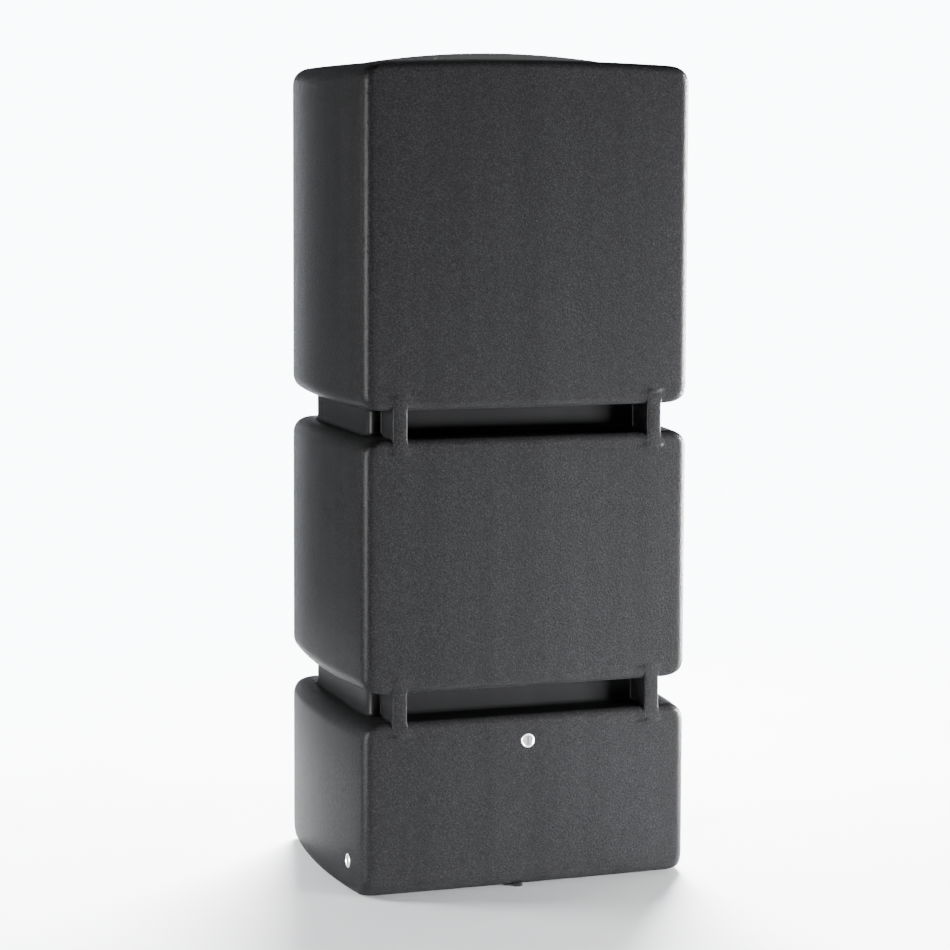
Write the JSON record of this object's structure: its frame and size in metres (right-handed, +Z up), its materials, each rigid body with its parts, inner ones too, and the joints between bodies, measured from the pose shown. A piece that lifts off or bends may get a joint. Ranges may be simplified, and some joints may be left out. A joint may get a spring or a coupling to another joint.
{
  "type": "rain barrel",
  "caption": "Upright rectangular garden rain tank of stacked sections with waisted grooves between them, a screwed-down domed lid and plugged threaded outlets.",
  "frame": {"origin": "middle of the underside, at the floor", "axes": "+Z up, -Y out of the front face with the upper outlet, +X to the right of someone who looks at the front"},
  "size_m": [0.8, 0.6, 1.8565],
  "materials": {
    "tank_plastic": "pebbled matt anthracite polyethylene",
    "lid_plastic": "fine satin anthracite polypropylene",
    "seal_rubber": "black EPDM",
    "black_steel": "black-coated stainless steel",
    "brass": "turned brass",
    "nickel_plate": "bright nickel plate",
    "plug_metal": "brushed nickel plate"
  },
  "bodies": {
    "tank": {"tank_body": "tank_plastic", "lid_insert_1": "brass", "lid_insert_2": "brass", "lid_insert_3": "brass", "lid_insert_4": "brass", "front_insert": "nickel_plate", "side_insert": "nickel_plate"},
    "lid": {"lid": "lid_plastic", "lid_seal": "seal_rubber"},
    "washer_1": {"lid_washer_1": "black_steel"},
    "screw_1": {"lid_screw_1": "black_steel"},
    "washer_2": {"lid_washer_2": "black_steel"},
    "screw_2": {"lid_screw_2": "black_steel"},
    "washer_3": {"lid_washer_3": "black_steel"},
    "screw_3": {"lid_screw_3": "black_steel"},
    "washer_4": {"lid_washer_4": "black_steel"},
    "screw_4": {"lid_screw_4": "black_steel"},
    "front_seal": {"front_plug_seal": "seal_rubber"},
    "front_plug": {"front_plug": "plug_metal"},
    "side_seal": {"side_plug_seal": "seal_rubber"},
    "side_plug": {"side_plug": "plug_metal"}
  },
  "joints": [
    {"name": "lid_lift", "type": "slide", "parent": "tank", "child": "lid", "axis": [0, 0, 1], "range_m": [0, 0.3]},
    {"name": "screw_1_rise", "type": "slide", "parent": "lid", "child": "washer_1", "axis": [0, 0, 1], "range_m": [0, 0.014]},
    {"name": "screw_1_turn", "type": "hinge", "parent": "washer_1", "child": "screw_1", "pos_m": [0.18194, 0.18194, 1.8355], "axis": [0, 0, 1], "range_deg": [0, 5053]},
    {"name": "screw_2_rise", "type": "slide", "parent": "lid", "child": "washer_2", "axis": [0, 0, 1], "range_m": [0, 0.014]},
    {"name": "screw_2_turn", "type": "hinge", "parent": "washer_2", "child": "screw_2", "pos_m": [-0.18194, 0.18194, 1.8355], "axis": [0, 0, 1], "range_deg": [0, 5053]},
    {"name": "screw_3_rise", "type": "slide", "parent": "lid", "child": "washer_3", "axis": [0, 0, 1], "range_m": [0, 0.014]},
    {"name": "screw_3_turn", "type": "hinge", "parent": "washer_3", "child": "screw_3", "pos_m": [-0.18194, -0.18194, 1.8355], "axis": [0, 0, 1], "range_deg": [0, 5053]},
    {"name": "screw_4_rise", "type": "slide", "parent": "lid", "child": "washer_4", "axis": [0, 0, 1], "range_m": [0, 0.014]},
    {"name": "screw_4_turn", "type": "hinge", "parent": "washer_4", "child": "screw_4", "pos_m": [0.18194, -0.18194, 1.8355], "axis": [0, 0, 1], "range_deg": [0, 5053]},
    {"name": "front_plug_out", "type": "slide", "parent": "tank", "child": "front_seal", "axis": [0, -1, 0], "range_m": [0, 0.0164]},
    {"name": "front_plug_turn", "type": "hinge", "parent": "front_seal", "child": "front_plug", "pos_m": [0, -0.3, 0.333], "axis": [0, -1, 0], "range_deg": [0, 3240]},
    {"name": "side_plug_out", "type": "slide", "parent": "tank", "child": "side_seal", "axis": [-1, 0, 0], "range_m": [0, 0.0164]},
    {"name": "side_plug_turn", "type": "hinge", "parent": "side_seal", "child": "side_plug", "pos_m": [-0.38955, -0.204, 0.07], "axis": [-1, 0, 0], "range_deg": [0, 3240]}
  ],
  "couplings": [
    {"joint": "screw_1_turn", "follows": "screw_1_rise", "rad_per_m": 6283.2},
    {"joint": "screw_2_turn", "follows": "screw_2_rise", "rad_per_m": 6283.2},
    {"joint": "screw_3_turn", "follows": "screw_3_rise", "rad_per_m": 6283.2},
    {"joint": "screw_4_turn", "follows": "screw_4_rise", "rad_per_m": 6283.2},
    {"joint": "front_plug_out", "follows": "front_plug_turn", "m_per_rad": 0.00028871},
    {"joint": "side_plug_out", "follows": "side_plug_turn", "m_per_rad": 0.00028871}
  ]
}
